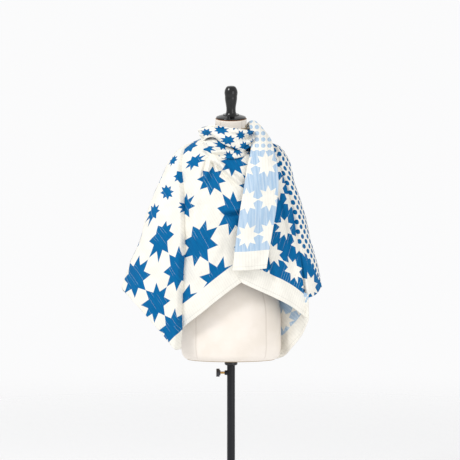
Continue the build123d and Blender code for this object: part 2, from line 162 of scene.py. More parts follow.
bpy.context.scene.view_settings.view_transform = "Standard"
add_camera()
add_world()
add_floor()
add_light("key", (-2.2, -2.0, 3.2), 0.9, 56)
add_light("fill", (2.0, -2.6, 1.0), 2.2, 22)

# ---- numbers into nodes ---------------------------------------------------------------


class Nodes:
    """Short names for the shader nodes that the materials are built from."""

    def __init__(self, name):
        self.material = bpy.data.materials.new(name)
        self.material.use_nodes = True
        self.tree = self.material.node_tree
        self.shader = self.tree.nodes["Principled BSDF"]

    def put(self, socket, value):
        if isinstance(value, bpy.types.NodeSocket):
            self.tree.links.new(value, socket)
        elif value is not None:
            socket.default_value = value

    def node(self, kind, **settings):
        made = self.tree.nodes.new(kind)
        for key, value in settings.items():
            setattr(made, key, value)
        return made

    def math(self, operation, a, b=None, c=None):
        made = self.node("ShaderNodeMath", operation=operation)
        for socket, value in zip(made.inputs, (a, b, c)):
            self.put(socket, value)
        return made.outputs[0]

    def mix(self, factor, a, b):
        made = self.node("ShaderNodeMix", data_type="RGBA")
        self.put(made.inputs[0], factor)
        self.put(made.inputs[6], a)
        self.put(made.inputs[7], b)
        return made.outputs[2]

    def fade(self, value, low, high, to_low=0.0, to_high=1.0):
        made = self.node("ShaderNodeMapRange", interpolation_type="SMOOTHSTEP")
        for socket, number in zip(made.inputs, (value, low, high, to_low, to_high)):
            self.put(socket, number)
        return made.outputs[0]

    def noise(self, vector, scale, detail=3.0, roughness=0.55):
        made = self.node("ShaderNodeTexNoise")
        self.put(made.inputs["Vector"], vector)
        made.inputs["Scale"].default_value = scale
        made.inputs["Detail"].default_value = detail
        made.inputs["Roughness"].default_value = roughness
        return made.outputs["Fac"]

    def stretch(self, vector, factors):
        made = self.node("ShaderNodeVectorMath", operation="MULTIPLY")
        self.put(made.inputs[0], vector)
        made.inputs[1].default_value = factors
        return made.outputs[0]

    def object_space(self):
        return self.node("ShaderNodeTexCoord").outputs["Object"]

    def attribute(self, name):
        made = self.node("ShaderNodeAttribute", attribute_name=name)
        parts = self.node("ShaderNodeSeparateXYZ")
        self.put(parts.inputs[0], made.outputs["Vector"])
        return made.outputs["Vector"], *parts.outputs

    def bump(self, height, distance, strength=1.0, below=None):
        made = self.node("ShaderNodeBump")
        made.inputs["Strength"].default_value = strength
        made.inputs["Distance"].default_value = distance
        self.put(made.inputs["Height"], height)
        if below is not None:
            self.put(made.inputs["Normal"], below)
        return made.outputs[0]

    def finish(self, colour, roughness, normal=None, **steady):
        self.put(self.shader.inputs["Base Color"], colour)
        self.put(self.shader.inputs["Roughness"], roughness)
        if normal is not None:
            self.put(self.shader.inputs["Normal"], normal)
        for key, value in steady.items():
            self.shader.inputs[key.replace("_", " ")].default_value = value
        return self.material


def colour(red, green, blue):
    """A colour given as 0 to 255 on screen."""
    shown = [c / 255 for c in (red, green, blue)]
    light = [c / 12.92 if c < 0.0405 else ((c + 0.055) / 1.055) ** 2.4 for c in shown]
    return (*light, 1.0)


# ---- hard materials -------------------------------------------------------------------


def painted_metal(name, tint, roughness):
    """Powder coat: a fine orange peel and faint dust."""
    n = Nodes(name)
    space = n.object_space()
    peel = n.noise(space, 900, 2)
    dust = n.noise(space, 14, 5)
    paler = tuple(min(1, c * 1.5 + 0.004) for c in tint[:3]) + (1,)
    rough = n.fade(dust, 0.3, 0.7, roughness - 0.06, roughness + 0.08)
    made = n.finish(n.mix(dust, tint, paler), rough, n.bump(peel, 0.0002, 0.35))
    n.shader.inputs["Specular IOR Level"].default_value = 0.25
    return made


def bare_metal(name, tint, roughness, along=(1, 1, 0.04)):
    """Drawn or turned metal with fine lines."""
    n = Nodes(name)
    lines = n.noise(n.stretch(n.object_space(), along), 1400, 2)
    shade = n.fade(lines, 0.3, 0.7, 0.0, 1.0)
    darker = tuple(c * 0.78 for c in tint[:3]) + (1,)
    rough = n.fade(lines, 0.3, 0.7, roughness - 0.07, roughness + 0.09)
    return n.finish(n.mix(shade, darker, tint), rough, n.bump(lines, 0.0001, 0.3), Metallic=1.0)


def plastic(name, tint, roughness):
    """Moulded plastic with a fine grain."""
    n = Nodes(name)
    grain = n.noise(n.object_space(), 700, 3)
    paler = tuple(min(1, c * 1.25 + 0.002) for c in tint[:3]) + (1,)
    rough = n.fade(grain, 0.3, 0.7, roughness - 0.05, roughness + 0.05)
    return n.finish(n.mix(grain, tint, paler), rough, n.bump(grain, 0.0001, 0.3))


def lacquered_wood(name):
    """Black gloss over turned wood: the grain only just tells, with small wear marks."""
    n = Nodes(name)
    space = n.object_space()
    grain = n.noise(n.stretch(space, (1, 1, 0.08)), 260, 4)
    scuffs = n.noise(space, 55, 6, 0.7)
    tint = n.mix(n.fade(scuffs, 0.58, 0.8), colour(12, 12, 14), colour(40, 38, 38))
    rough = n.fade(scuffs, 0.35, 0.75, 0.12, 0.34)
    made = n.finish(tint, rough, n.bump(grain, 0.0002, 0.25))
    n.shader.inputs["Coat Weight"].default_value = 0.35
    n.shader.inputs["Specular IOR Level"].default_value = 0.3
    n.shader.inputs["Coat Roughness"].default_value = 0.08
    return made


def plain_wood(name, dark, pale):
    """Bare wood: growth rings and fibres along X."""
    n = Nodes(name)
    space = n.object_space()
    rings = n.noise(n.stretch(space, (1.0, 9.0, 9.0)), 22, 5, 0.6)
    fibres = n.noise(n.stretch(space, (0.6, 12.0, 12.0)), 160, 3)
    tint = n.mix(n.fade(rings, 0.35, 0.65), dark, pale)
    return n.finish(tint, n.fade(fibres, 0.3, 0.7, 0.5, 0.68), n.bump(fibres, 0.0003, 0.4))


def felt(name, tint):
    """Pressed fibres."""
    n = Nodes(name)
    fuzz = n.noise(n.object_space(), 900, 6, 0.75)
    paler = tuple(min(1, c * 1.7) for c in tint[:3]) + (1,)
    made = n.finish(n.mix(fuzz, tint, paler), 0.95, n.bump(fuzz, 0.0006, 0.8))
    n.shader.inputs["Sheen Weight"].default_value = 0.3
    return made


def paper_pulp(name):
    """The lumpy brown shell inside the form."""
    n = Nodes(name)
    lumps = n.noise(n.object_space(), 130, 6, 0.65)
    tint = n.mix(lumps, colour(150, 128, 100), colour(190, 170, 140))
    return n.finish(tint, 0.85, n.bump(lumps, 0.0006, 0.6))


def dress(node_names, material):
    """Gives carried-over CAD nodes a finished material."""
    for name in node_names:
        mesh = NODES[name].data
        mesh.materials.clear()
        mesh.materials.append(material)


BLACK = colour(19, 20, 25)
dress(["base_plate"], painted_metal("iron_enamel", colour(18, 19, 23), 0.5))
dress(["stand_tube", "base_collar", "screw_boss"], painted_metal("tube_coat", BLACK, 0.36))
dress(["top_collar"], plastic("collar_plastic", colour(16, 16, 19), 0.3))
dress(["clamp_knob"], bare_metal("blackened_steel", colour(86, 86, 92), 0.34, (0.05, 1, 1)))
dress(["clamp_stem", "clamp_pad"], bare_metal("turned_brass", colour(214, 176, 112), 0.3, (1, 0.1, 0.1)))
STEEL = bare_metal("zinc_steel", colour(196, 198, 202), 0.3)
STEEL_NODES = ["inner_pole", "tube_plug", "base_washer", "base_bolt", "board_screws"]
dress(STEEL_NODES + ["pole_socket", "socket_screws", "finial_stud"], STEEL)
dress(["guide_bush", "pole_foot_ring", "thrust_washer"], plastic("nylon", colour(226, 222, 208), 0.5))
dress(["base_felt"], felt("pressed_felt", colour(70, 70, 74)))
dress(["torso_shell"], paper_pulp("paper_pulp"))
PLY = plain_wood("plywood", colour(176, 140, 96), colour(214, 184, 140))
dress(["bottom_board", "rim_ring", "neck_block", "left_arm_plate", "right_arm_plate"], PLY)
dress(["cap_edging"], plain_wood("tan_edge", colour(104, 58, 28), colour(150, 92, 52)))
dress(["neck_cap", "neck_finial"], lacquered_wood("black_lacquer"))

# ---- smooth curves through a few points -----------------------------------------------


def smooth(x, xs, ys):
    """A smooth line through (xs, ys), read at x, straight beyond its ends."""
    xs = np.asarray(xs, float)
    ys = np.asarray(ys, float)
    x = np.asarray(x, float)
    slopes = np.gradient(ys, xs)
    k = np.clip(np.searchsorted(xs, x) - 1, 0, len(xs) - 2)
    width = xs[k + 1] - xs[k]
    f = np.clip((x - xs[k]) / width, 0, 1)
    a = 2 * f**3 - 3 * f**2 + 1
    b = f**3 - 2 * f**2 + f
    c = -2 * f**3 + 3 * f**2
    d = f**3 - f**2
    return a * ys[k] + b * width * slopes[k] + c * ys[k + 1] + d * width * slopes[k + 1]


def ease(value, low, high):
    """0 below low, 1 above high, and smooth between."""
    f = np.clip((value - low) / (high - low), 0, 1)
    return f * f * (3 - 2 * f)


def net(points, across, down):
    """A smooth surface through a net of points, as an array of down by across points."""
    points = np.asarray(points, float)

    def run(values, count):
        steps = np.linspace(0, len(values) - 1, count)
        padded = np.concatenate([[2 * values[0] - values[1]], values, [2 * values[-1] - values[-2]]])
        k = np.minimum(steps.astype(int), len(values) - 2)
        f = (steps - k).reshape(-1, *[1] * (values.ndim - 1))
        p0, p1, p2, p3 = (padded[k + i] for i in range(4))
        square = (2 * p0 - 5 * p1 + 4 * p2 - p3) * f**2
        cube = (3 * p1 - p0 - 3 * p2 + p3) * f**3
        return 0.5 * (2 * p1 + (p2 - p0) * f + square + cube)

    tall = run(points, down)
    return run(tall.swapaxes(0, 1), across).swapaxes(0, 1)


rng = np.random.default_rng(7)


def ripple_field(scale, count=24):
    """A soft random height over a plane: a sum of waves about scale long, near -1 to 1."""
    turns = rng.uniform(0, 2 * math.pi, count)
    phases = rng.uniform(0, 2 * math.pi, count)
    pace = 2 * math.pi / scale * rng.uniform(0.5, 1.4, count)

    def height(x, y):
        total = 0
        for turn, phase, p in zip(turns, phases, pace):
            total = total + np.sin(p * (math.cos(turn) * x + math.sin(turn) * y) + phase)
        return total / math.sqrt(count)

    return height


def make_object(name, places, faces):
    """A smooth-shaded mesh object in the scene."""
    mesh = bpy.data.meshes.new(name)
    mesh.from_pydata(places.tolist(), [], faces)
    for polygon in mesh.polygons:
        polygon.use_smooth = True
    piece = bpy.data.objects.new(name, mesh)
    bpy.context.scene.collection.objects.link(piece)
    return piece


def grid_faces(across, down, closed=False, start=0, turned=False):
    """Quads of a grid whose rows are across points long."""
    faces = []
    for r in range(down - 1):
        for c in range(across if closed else across - 1):
            here = start + r * across
            below = here + across
            d = (c + 1) % across
            quad = (here + c, below + c, below + d, here + d)
            faces.append(quad[::-1] if turned else quad)
    return faces


# ---- torso cloth ----------------------------------------------------------------------

# height, half width, half depth, centre depth
TORSO = np.array([
    (640, 138, 84, 0), (640.2, 147, 93, 0), (645, 157, 102, 0), (655, 164.5, 109, 0), (672, 168.5, 113, 0),
    (740, 170, 118, 0), (820, 167, 117, 2), (910, 140, 101, 4), (1000, 119, 89, 4), (1100, 133, 99, 0),
    (1190, 152, 110, -6), (1280, 161, 99, -4), (1338, 155, 80, 0), (1372, 106, 68, -1), (1398, 66, 58, -4),
    (1424, 54.5, 54, -7), (1470, 53.4, 53.4, -11),
]) * MM
NECK_LEAN = math.radians(15)
NECK_MIDDLE = np.array([0, -0.010, 1.457])
NECK_FOOT = 1.395
LOWEST_EVEN = 0.658
HIGHEST_EVEN = 1.472
JERSEY_THICKNESS = 0.0009
SEAM_TURNS = (-0.76, 0.76, 2.38, -2.38)
SEAM_FADES_IN = (0.642, 0.66)
SEAM_DEPTH = 0.0006
SEAM_WIDTH = 0.0022


def torso_radius(height):
    return [smooth(height, TORSO[:, 0], TORSO[:, k]) for k in (1, 2, 3)]


def build_torso():
    """The stretched cover: smooth sides, sewn lines at the princess seams, a cut leaning neck."""
    across = 420
    heights = np.concatenate([TORSO[:4, 0], np.linspace(LOWEST_EVEN, HIGHEST_EVEN, 150)])
    turns = np.linspace(0, 2 * math.pi, across, endpoint=False)
    half_x, half_y, middle = torso_radius(heights)
    x = half_x[:, None] * np.sin(turns)
    y = middle[:, None] - half_y[:, None] * np.cos(turns)
    z = np.repeat(heights[:, None], across, axis=1)
    groove = np.zeros_like(x)
    for seam in SEAM_TURNS:
        gap = np.abs((turns - seam + math.pi) % (2 * math.pi) - math.pi)
        groove += np.exp(-((gap[None, :] * half_x[:, None] / SEAM_WIDTH) ** 2))
    groove = groove * ease(z, *SEAM_FADES_IN)
    inward = SEAM_DEPTH * groove
    x -= inward * np.sin(turns)
    y += inward * np.cos(turns)
    cut = NECK_MIDDLE[2] + (y - NECK_MIDDLE[1]) * math.tan(NECK_LEAN)
    neck_part = (z - NECK_FOOT) / (heights[-1] - NECK_FOOT)
    z = np.where(z > NECK_FOOT, NECK_FOOT + (cut - NECK_FOOT) * neck_part, z)
    places = np.stack([x, y, z], axis=-1).reshape(-1, 3)
    piece = make_object("torso_cloth", places, grid_faces(across, len(heights), closed=True))
    # the seam groove's depth, kept so the jersey can paint shade along the grooves
    line = piece.data.attributes.new("seam", "FLOAT", "POINT")
    line.data.foreach_set("value", np.clip(groove.ravel(), 0, 1).astype(np.float32))
    piece.data.flip_normals()
    shell = piece.modifiers.new("thickness", "SOLIDIFY")
    shell.thickness = JERSEY_THICKNESS
    shell.offset = -1
    return piece


def jersey():
    """Cream cotton jersey: a fine knit, a little mottling, and painted shade darkening the seam grooves."""
    n = Nodes("torso_jersey")
    space = n.object_space()
    knit = n.node("ShaderNodeTexWave", wave_type="BANDS", bands_direction="Z", wave_profile="SIN")
    knit.inputs["Scale"].default_value = 260
    knit.inputs["Distortion"].default_value = 1.5
    knit.inputs["Detail"].default_value = 1
    n.put(knit.inputs["Vector"], space)
    threads = n.noise(n.stretch(space, (1, 1, 0.5)), 1100, 3)
    mottle = n.noise(space, 9, 4)
    seam = n.node("ShaderNodeAttribute", attribute_name="seam").outputs["Fac"]
    tint = n.mix(n.fade(mottle, 0.35, 0.65), colour(231, 222, 211), colour(238, 230, 221))
    # painted shade: the cream darkens towards brown along the seam grooves, as deep as each groove
    tint = n.mix(n.math("MULTIPLY", seam, 0.35), tint, colour(176, 160, 146))
    height = n.math("ADD", n.math("MULTIPLY", knit.outputs["Fac"], 0.4), threads)
    made = n.finish(tint, 0.86, n.bump(height, 0.0003, 0.35))
    n.shader.inputs["Sheen Weight"].default_value = 0.15
    return made


torso = build_torso()
torso.data.materials.append(jersey())
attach(torso, "form")
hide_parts("torso_cover")

# ---- how the cloth hangs --------------------------------------------------------------

# The hang is a loose tent round the torso. Its level sections are rounded ovals:
# height, left reach, right reach, front reach, back reach, in millimetres from the pole.
HANG = np.array([
    (640, 363, 307, 146, 150), (880, 363, 307, 144, 148), (970, 333, 286, 142, 143),
    (1057, 301, 262, 140, 137), (1148, 272, 240, 137, 131), (1240, 236, 212, 131, 123),
    (1327, 196, 182, 112, 108), (1352, 172, 166, 100, 96), (1366, 152, 152, 90, 88), (1378, 122, 122, 78, 76),
    (1390, 88, 88, 68, 66), (1400, 70, 70, 62, 60),
])
OVAL = 2.25


def reach(height):
    """Left, right, front and back reach at a height, in millimetres."""
    return [smooth(height, HANG[:, 0], HANG[:, k]) for k in (1, 2, 3, 4)]


def front_depth(x, z):
    """How far in front of the pole the hanging cloth is, at x across and z up."""
    left, right, front, _ = reach(z)
    side = np.where(x < 0, left, right)
    flat = np.clip(1 - np.abs(x / side) ** OVAL, 0, 1)
    return front * flat ** (1 / OVAL)


def drape(across_up_lift):
    """Turns (x, z, lift), as drawn on the middle plane seen from the front, into places on the hang."""
    drawn_x, drawn_z, lift = np.moveaxis(across_up_lift, -1, 0)
    x, z = drawn_x, drawn_z
    away = CAMERA_AWAY / MM
    eye_z = CAMERA_HEIGHT / MM
    for _ in range(4):
        depth = front_depth(x, z) + lift
        nearer = (away - depth) / away
        x = drawn_x * nearer
        z = eye_z + (drawn_z - eye_z) * nearer
    return np.stack([x, -(front_depth(x, z) + lift), z], axis=-1)


def at_depth(across_up_depth):
    """Turns (x, z, y), drawn as above but with a depth of their own, into places."""
    drawn_x, drawn_z, y = np.moveaxis(across_up_depth, -1, 0)
    nearer = (CAMERA_AWAY / MM + y) / (CAMERA_AWAY / MM)
    eye_z = CAMERA_HEIGHT / MM
    return np.stack([drawn_x * nearer, y, eye_z + (drawn_z - eye_z) * nearer], axis=-1)


# the thin plate is worked out in decimetres, so that its numbers stay near 1
LATTICE_UNIT = 100


def bend(gap):
    """The thin-plate weight of a point this far away."""
    return gap**2 * np.log(np.maximum(gap, 1e-6))


def lattice(drawn_x, drawn_z, stars, stiffness=0.02):
    """Pattern coordinates for stars given as (x, z, row, column, size).

    They reach the whole numbers (row, column) at each star and bend as little as they can between.
    The stiffer they are, the straighter they run past the stars."""
    stars = np.asarray(stars, float)
    spots = stars[:, :2] / LATTICE_UNIT
    count = len(spots)
    flat = np.column_stack([np.ones(count), spots])
    between = np.linalg.norm(spots[:, None] - spots[None], axis=-1)
    system = np.zeros((count + 3, count + 3))
    system[:count, :count] = bend(between) + stiffness * np.eye(count)
    system[:count, count:] = flat
    system[count:, :count] = flat.T
    weights = np.linalg.solve(system, np.vstack([stars[:, 2:4], np.zeros((3, 2))]))
    place = np.stack([drawn_x, drawn_z], axis=-1) / LATTICE_UNIT
    gaps = np.linalg.norm(place[..., None, :] - spots, axis=-1)
    near = 1 / (gaps**2 + 0.05) ** 1.5
    size = (near * stars[:, 4]).sum(axis=-1) / near.sum(axis=-1)
    terms = np.concatenate([bend(gaps), np.ones_like(gaps[..., :1]), place], axis=-1)
    return np.concatenate([terms @ weights, size[..., None]], axis=-1)


def creases(x, z, folds):
    """All the folds of a table added up, each given as start, end, width and depth."""
    total = 0
    for start, end, width, depth in folds:
        total = total + crease(x, z, start, end, width, depth)
    return total


def crease(x, z, start, end, width, depth):
    """A long fold from start to end: a ridge with a dip on its lower side, fading at both ends."""
    start = np.asarray(start, float)
    run = np.asarray(end, float) - start
    length = np.hypot(*run)
    along = ((x - start[0]) * run[0] + (z - start[1]) * run[1]) / length
    aside = ((x - start[0]) * run[1] - (z - start[1]) * run[0]) / length
    fade = ease(along, -0.08 * length, 0.2 * length) * (1 - ease(along, 0.7 * length, 1.05 * length))
    offset = aside / width
    return depth * fade * (np.exp(-(offset**2)) - 0.6 * np.exp(-((offset - 1.5) ** 2)))


soft = ripple_field(170)
fine = ripple_field(46)


class Panel:
    """One stretch of the quilt: places, pattern coordinates, cloth coordinates and a look.

    motif is (row, column, size of star), dots is (row, column), and zone is where the stars begin."""

    def __init__(self, places, motif, repeat, hem, look, dots=None, zone=None, turned=False, grain=None):
        self.places = places
        self.repeat = repeat
        self.grain = motif if grain is None else grain
        self.shape = places.shape[:2]
        self.turned = turned
        self.motif = motif
        self.dots = motif[..., :2] if dots is None else dots
        self.zone = np.ones(self.shape) if zone is None else zone
        self.hem = hem
        self.look = np.full(self.shape, look) if isinstance(look, int) else look

    def cloth(self):
        """Metres across and along the grain, which the pattern follows, and the distance to the hem."""
        across = self.grain[..., 0] * self.repeat[0]
        along = self.grain[..., 1] * self.repeat[1]
        return np.dstack([across, along, self.hem * MM])


STIFF = 1e5
NO_HEM = 500.0
ZONE_BLEND = 20
# how far apart the stars are woven, across and along the grain, in metres
BIG_REPEAT = (0.155, 0.155)
DARK_REPEAT = (0.088, 0.112)
REVERSE_REPEAT = (0.074, 0.118)
SMALL_REPEAT = (0.045, 0.045)
BLUE_STARS = 0
WHITE_STARS = 1
REVERSE = 2

# ---- left front -----------------------------------------------------------------------

LEFT_FRONT = [
    [(-125, 1380, -12), (-98, 1392, -8), (-60, 1386, -8), (-20, 1368, -10), (20, 1352, -10), (60, 1345, -10)],
    [(-176, 1330, -26), (-142, 1330, -6), (-95, 1325, 0), (-45, 1318, 4), (10, 1308, 4), (65, 1310, 0)],
    [(-190, 1240, -34), (-152, 1235, -12), (-100, 1225, 0), (-42, 1215, 4), (18, 1210, 4), (75, 1210, 0)],
    [(-190, 1140, -38), (-152, 1130, -15), (-100, 1115, 0), (-42, 1105, 3), (18, 1105, 3), (75, 1110, 0)],
    [(-190, 1030, -38), (-152, 1015, -16), (-100, 1000, 0), (-42, 1000, 4), (18, 1010, 3), (75, 1020, 0)],
    [(-190, 890, -38), (-152, 885, -16), (-100, 890, 0), (-42, 910, 5), (18, 935, 4), (75, 950, 0)],
    [(-190, 729, -38), (-152, 757, -18), (-100, 797, 0), (-42, 844, 6), (18, 889, 5), (75, 926, 0)],
]
# each star's place across and up, its row and column, and its size
LEFT_FRONT_STARS = [
    (-109, 1034, 0, 0, 1.0), (10, 1139, 1, 0, 1.0), (-158, 1158, 0, -1, 0.6), (-66, 1253, 1, -1, 1.0),
    (-126, 1312, 1, -2, 0.68), (5, 1308, 2, -1, 1.0), (-44, 912, 0, 1, 1.0), (-160, 828, -1, 1, 1.0),
    (-139, 1362, 1, -3, 0.7),
]


LEFT_FRONT_FOLDS = [
    ((-64, 1328), (44, 1228), 9, 20), ((-70, 1326), (-90, 1240), 7, 17), ((-67, 1324), (-40, 1270), 5, 8),
    ((-76, 1326), (-104, 1346), 6, 9), ((-40, 1143), (80, 1158), 9, 13), ((45, 1075), (-30, 1120), 16, 7),
    ((-30, 1060), (-110, 900), 20, 8), ((-118, 1230), (-134, 960), 16, 8),
]
# the lower edge as (x, height), and how much shorter the way to it is across its slant
LEFT_HEM = [(-190, 729), (-152, 757), (-100, 797), (-42, 844), (18, 889), (75, 926)]
LEFT_HEM_SLANT = 0.80


def left_front():
    """The front from the left fold to the hanging end."""
    x, z, lift = np.moveaxis(net(LEFT_FRONT, 150, 210), -1, 0)
    lift = lift + creases(x, z, LEFT_FRONT_FOLDS) + 3.0 * soft(x, z) + 0.5 * fine(x, z)
    places = drape(np.dstack([x, z, lift]))
    hem = (z - smooth(x, *np.array(LEFT_HEM, float).T)) * LEFT_HEM_SLANT
    motif = lattice(x, z, LEFT_FRONT_STARS)
    grain = lattice(x, z, LEFT_FRONT_STARS, STIFF)
    return Panel(places, motif, BIG_REPEAT, hem, BLUE_STARS, grain=grain)


# ---- right front ----------------------------------------------------------------------

RIGHT_FRONT = [
    [(66, 1372, 4), (84, 1372, 3), (102, 1374, 2), (118, 1374, 0), (132, 1372, -4), (146, 1366, -10)],
    [(72, 1308, 6), (90, 1308, 6), (112, 1308, 5), (138, 1306, 2), (165, 1300, -4), (190, 1290, -14)],
    [(60, 1210, 9), (80, 1210, 9), (108, 1208, 8), (145, 1206, 4), (182, 1200, -4), (212, 1195, -16)],
    [(44, 1110, 10), (66, 1108, 10), (100, 1105, 9), (145, 1100, 5), (190, 1092, -2), (226, 1085, -12)],
    [(30, 1020, 10), (56, 1015, 11), (96, 1005, 10), (147, 995, 6), (196, 982, 2), (238, 972, 0)],
    [(8, 955, 9), (46, 938, 12), (94, 915, 11), (147, 892, 8), (200, 866, 6), (249, 850, 6)],
    [(37, 899, 10), (60, 888, 12), (98, 871, 12), (147, 849, 10), (206, 818, 9), (263, 775, 8)],
]
# the same for the white stars, whose columns stand further apart than their rows
RIGHT_FRONT_STARS = [
    (161, 1223, 0, 0, 0.9), (202, 1182, 1, 0, 0.9), (184, 1090, 1, 1, 0.95), (142, 1000, 1, 2, 1.0),
    (214, 944, 2, 2, 1.0), (265, 890, 3, 2, 1.0), (228, 1032, 2, 1, 0.9), (118, 1110, 0, 1, 1.0),
]
RIGHT_FRONT_FOLDS = [((170, 1230), (246, 880), 13, 9), ((110, 1060), (180, 860), 16, 9)]
RIGHT_HEM = [(8, 911), (37, 899), (90, 874), (145, 850), (206, 818), (263, 775)]
RIGHT_HEM_SLANT = 0.86
# where the dots begin, right of the white stars, as (height, x)
RIGHT_DOTS_FROM = [
    (850, 300), (1000, 260), (1062, 226), (1109, 218), (1161, 210), (1218, 200), (1234, 197), (1254, 189),
    (1273, 161), (1290, 110),
]
DOT_PITCH = 23
RIPPLE_SHIFT = 400


def slanting_dots(across, up):
    """Dot rows and columns at 45 degrees to the level."""
    return np.dstack([across + up, across - up]) / math.sqrt(2) / DOT_PITCH


def right_front():
    """The front from the hanging end to the right, white stars that change to dots."""
    x, z, lift = np.moveaxis(net(RIGHT_FRONT, 130, 200), -1, 0)
    shifted = x + RIPPLE_SHIFT
    lift = lift + creases(x, z, RIGHT_FRONT_FOLDS) + 2.6 * soft(shifted, z) + 0.5 * fine(shifted, z)
    places = drape(np.dstack([x, z, lift]))
    hem = (z - smooth(x, *np.array(RIGHT_HEM, float).T)) * RIGHT_HEM_SLANT
    zone = (smooth(z, *np.array(RIGHT_DOTS_FROM, float).T) - x) / ZONE_BLEND
    motif = lattice(x, z, RIGHT_FRONT_STARS)
    grain = lattice(x, z, RIGHT_FRONT_STARS, STIFF)
    return Panel(places, motif, DARK_REPEAT, hem, WHITE_STARS, slanting_dots(x, z), zone, grain=grain)


# ---- round the back, from the left fold to the right strip ------------------------------

# the wrap's two upright edges as (height, x)
FOLD_X = [
    (660, -178), (700, -174), (800, -168), (950, -163), (1057, -158), (1200, -163), (1335, -166),
    (1372, -150), (1412, -70),
]
STRIP_X = [
    (640, 250), (850, 250), (1000, 229), (1060, 221), (1160, 206), (1225, 188), (1290, 163), (1372, 138),
    (1412, 70),
]
ARM_STARS = [
    (-231, 1053, 0, 0, 0.95), (-255, 1140, 0, -1, 0.6), (-179, 944, 0, 1, 1.0), (-320, 917, -1, 0, 1.0),
    (-250, 833, -1, 1, 1.0), (-198, 745, -1, 2, 1.0), (-212, 1207, 1, -1, 0.78), (-158, 1158, 1, 0, 0.5),
    (-171, 1262, 2, -1, 0.7), (-189, 1315, 2, -2, 0.45),
]


WRAP_ACROSS = 520
WRAP_DOWN = 190
WRAP_TOP = 1398
FIRST_DROP = 600
WRAP_RADIUS = 210
# the lower edge behind, as (degrees round, height)
BACK_HEM = [
    (0, 885), (30, 838), (60, 775), (90, 738), (110, 750), (125, 800), (138, 872), (160, 888), (180, 885),
]
LAST_SEEN_TURN = -0.35
GRAIN_LEAN = math.radians(50)
# degrees round at which the white stars start, then the dots, then what the front shows
WHITE_STARS_FROM = 118
BACK_DOTS_FROM = 150
SEEN_AGAIN_FROM = 178
# where the dots begin at the right side, as (height, x)
STRIP_DOTS_FROM = [(850, 330), (912, 296), (1009, 239), (1036, 222), (1380, 100)]


def wrap_bottom(turn, x):
    """Height of the lower edge: a slanting side in front, a slow curve behind, a low right corner."""
    slant = 671 + np.clip(-188 - x, 0, 175) / 175 * 214
    around = np.degrees(turn)
    behind = smooth(around, *np.array(BACK_HEM, float).T)
    right = 885 - 38 * ease(around, 180, 222)
    return np.where(turn < 0, slant, np.where(turn > math.pi, right, behind))


def edge_turn(z, edge, side):
    """How far in front of the side an upright edge stands, as a turn."""
    return np.arccos(np.clip(np.abs(smooth(z, *np.array(edge, float).T)) / side, 0, 1) ** (OVAL / 2))


def wrap_shape(s, t):
    """The plain hang at s round and t down the wrap: place, level way out, and turn."""
    z = WRAP_TOP - FIRST_DROP * t + 0 * s
    for _ in range(12):
        left, right, front, back = reach(z)
        start = -edge_turn(z, FOLD_X, left)
        stop = math.pi + edge_turn(z, STRIP_X, right)
        turn = start + s * (stop - start)
        cos, sin = np.cos(turn), np.sin(turn)
        side = np.where(cos > 0, left, right)
        x = -side * np.sign(cos) * np.abs(cos) ** (2 / OVAL)
        z = WRAP_TOP + (wrap_bottom(turn, x) - WRAP_TOP) * t
    deep = np.where(sin < 0, front, back)
    y = deep * np.sign(sin) * np.abs(sin) ** (2 / OVAL)
    power = 2 - 2 / OVAL
    out = np.dstack([-np.abs(cos) ** power * np.sign(cos) / side, np.abs(sin) ** power * np.sign(sin) / deep])
    out /= np.linalg.norm(out, axis=-1, keepdims=True)
    return x, y, z, out, turn


def wrap_lift(s, t, turn, z):
    """How far the folds stand off the plain hang, with both upright edges rolled in."""
    girth = turn * WRAP_RADIUS
    around = np.degrees(turn)
    low_part = ease(t, 0.12, 1.0)
    behind = ease(around, 12, 45) * (1 - ease(around, 120, 150))
    lift = low_part * 13 * np.sin(girth / 47 + 1.3 * np.sin(t * 2.2)) * behind
    lift = lift + low_part * 5 * np.sin(girth / 23 + 2.0 * t) * behind
    lift += 3.0 * soft(girth, z) + 0.5 * fine(girth, z)
    from_edge = np.minimum(s * (WRAP_ACROSS - 1), (1 - s) * (WRAP_ACROSS - 1))
    lift = lift * ease(from_edge, 0, 30)
    lift += np.where(s < 0.5, 8, 6) - 34 * (1 - ease(from_edge, 0, 7)) ** 2
    return lift


def round_the_side(seen, turn, arc, z):
    """Keeps the pattern as seen from the front, and carries it on evenly past the left side."""
    rows = np.arange(len(turn))
    edge = np.abs(turn - LAST_SEEN_TURN).argmin(axis=1)
    run = arc - arc[rows, edge][:, None]
    rise = z - z[rows, edge][:, None]
    pitch = BIG_REPEAT[0] / MM
    across = (-run * math.cos(GRAIN_LEAN) + rise * math.sin(GRAIN_LEAN)) / pitch
    along = (-run * math.sin(GRAIN_LEAN) - rise * math.cos(GRAIN_LEAN)) / pitch
    carried = seen[rows, edge][:, None] + np.dstack([across, along, 0 * run])
    carried[..., 2] = 1 - (1 - carried[..., 2]) * (1 - ease(run, 0, 250))
    return np.where((run > 0)[..., None], carried, seen)


def wrap_pattern(seen_x, seen_z, turn, arc, z):
    """Pattern and grain: blue stars from the left fold to the back, then white ones."""
    on_right = (np.degrees(turn) > WHITE_STARS_FROM)[..., None]
    left_motif = round_the_side(lattice(seen_x, seen_z, ARM_STARS), turn, arc, z)
    left_grain = round_the_side(lattice(seen_x, seen_z, ARM_STARS, STIFF), turn, arc, z)
    behind = np.dstack([turn * WRAP_RADIUS / 78, (z - 1000) / 110, np.ones_like(z)])
    right = lattice(seen_x, seen_z, RIGHT_FRONT_STARS)
    from_back = ease(turn, math.pi - 0.5, math.pi + 0.1)[..., None]
    motif = np.where(on_right, behind * (1 - from_back) + right * from_back, left_motif)
    grain = np.where(on_right, behind * (DARK_REPEAT[0] / BIG_REPEAT[0]), left_grain)
    return motif, grain


